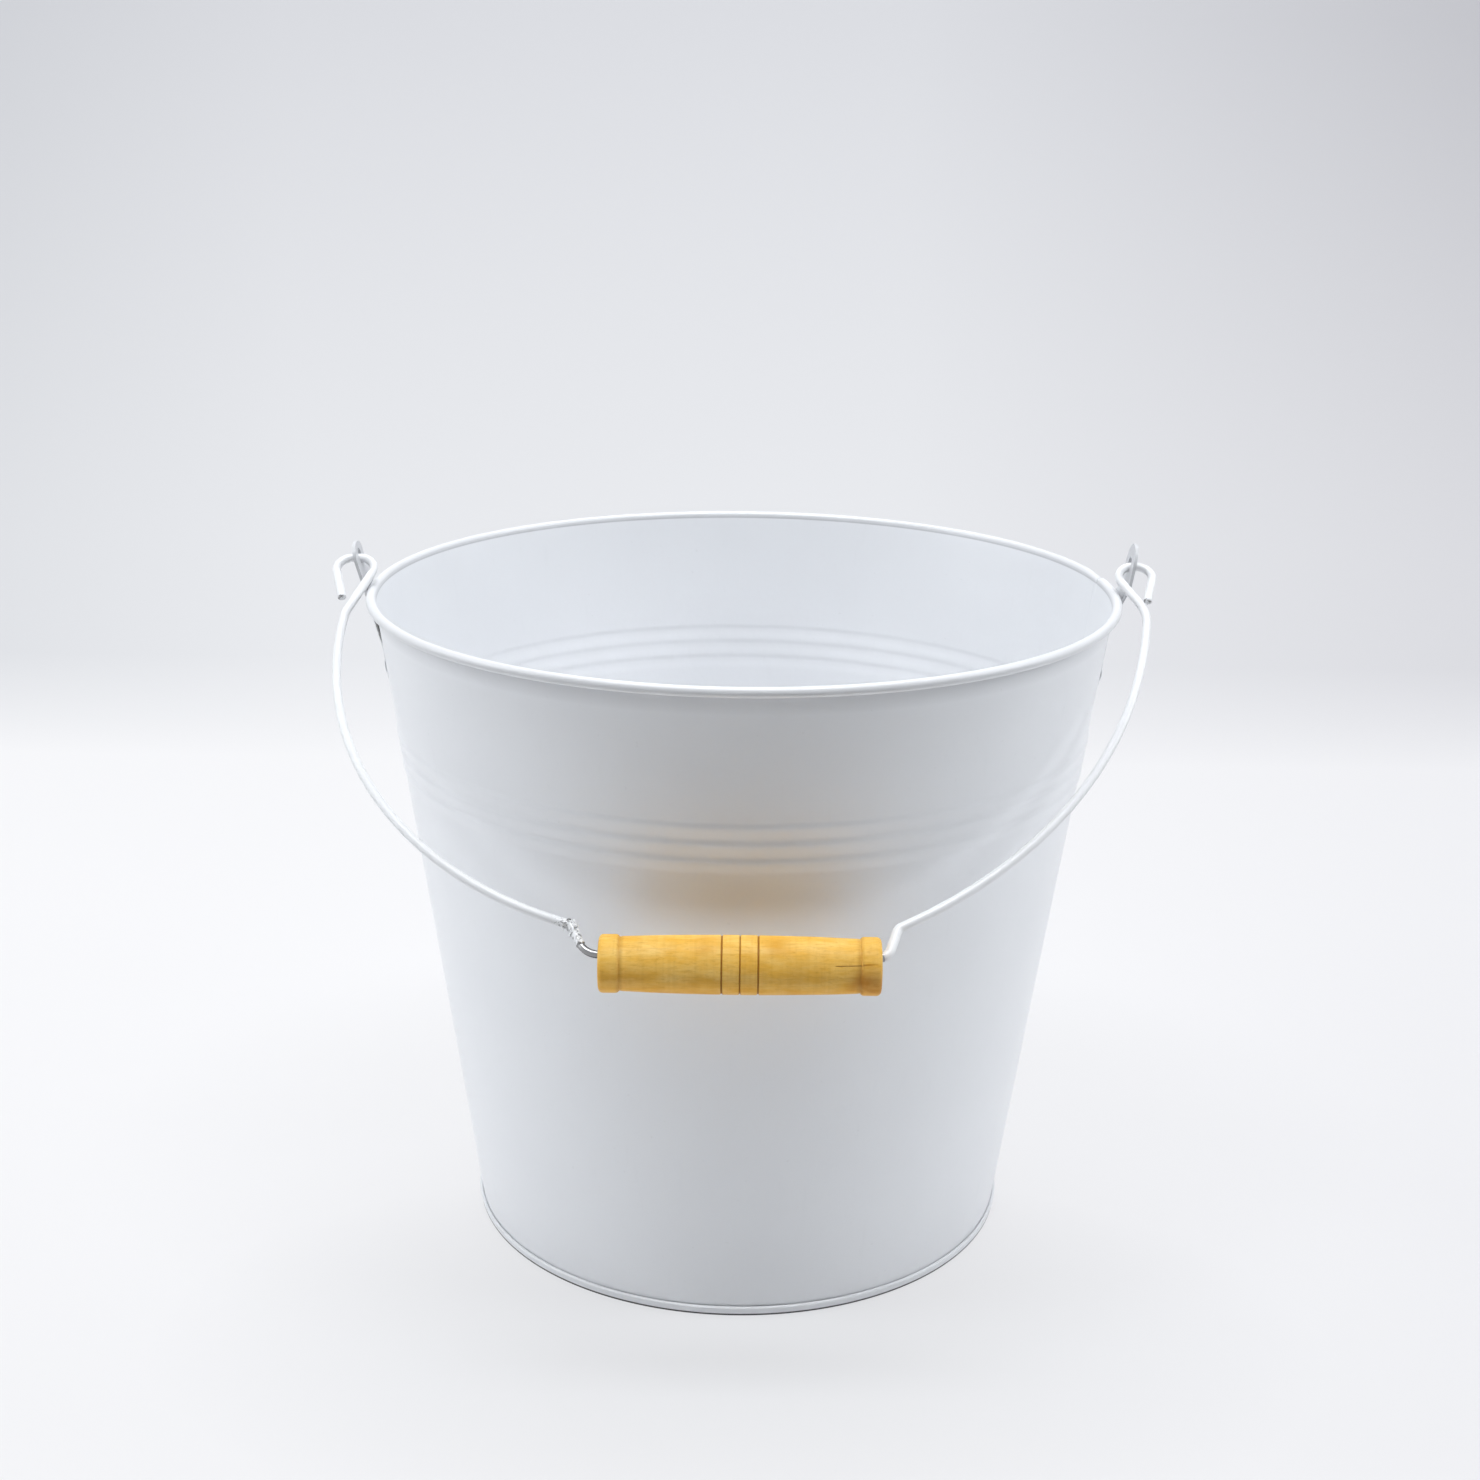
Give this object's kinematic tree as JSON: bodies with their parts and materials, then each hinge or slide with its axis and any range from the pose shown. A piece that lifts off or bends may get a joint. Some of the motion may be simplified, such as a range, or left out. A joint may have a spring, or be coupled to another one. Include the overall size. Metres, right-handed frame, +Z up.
{
  "type": "bucket",
  "caption": "Tapered steel bucket, painted white, with a rolled rim, stiffening beads, a folded foot, a swinging wire bail and a turned wooden grip that spins on the bail.",
  "frame": {"origin": "on the floor, under the middle of the base", "axes": "+Z up along the bucket's axis, +X towards the right ear, -Y towards the side where the bail hangs"},
  "size_m": [0.3216, 0.3142, 0.2782],
  "materials": {
    "white_paint": "semi-gloss",
    "bail_paint": "semi-gloss",
    "rim_steel": "drawn",
    "grip_wood": "varnished"
  },
  "bodies": {
    "bucket": {"body_wall": "white_paint", "rim_wire": "rim_steel", "base_disc": "white_paint", "right_ear": "white_paint", "right_ear_front_rivet": "white_paint", "right_ear_back_rivet": "white_paint", "left_ear": "white_paint", "left_ear_front_rivet": "white_paint", "left_ear_back_rivet": "white_paint"},
    "bail": {"bail_wire": "bail_paint"},
    "grip": {"grip": "grip_wood"}
  },
  "joints": [
    {"name": "bail_swing", "type": "hinge", "parent": "bucket", "child": "bail", "pos_m": [0, 0, 0.2691], "axis": [-1, 0, 0], "range_deg": [0, 246.5]},
    {"name": "grip_spin", "type": "hinge", "parent": "bail", "child": "grip", "pos_m": [0, -0.15719, 0.16597], "axis": [1, 0, 0], "continuous": true}
  ]
}
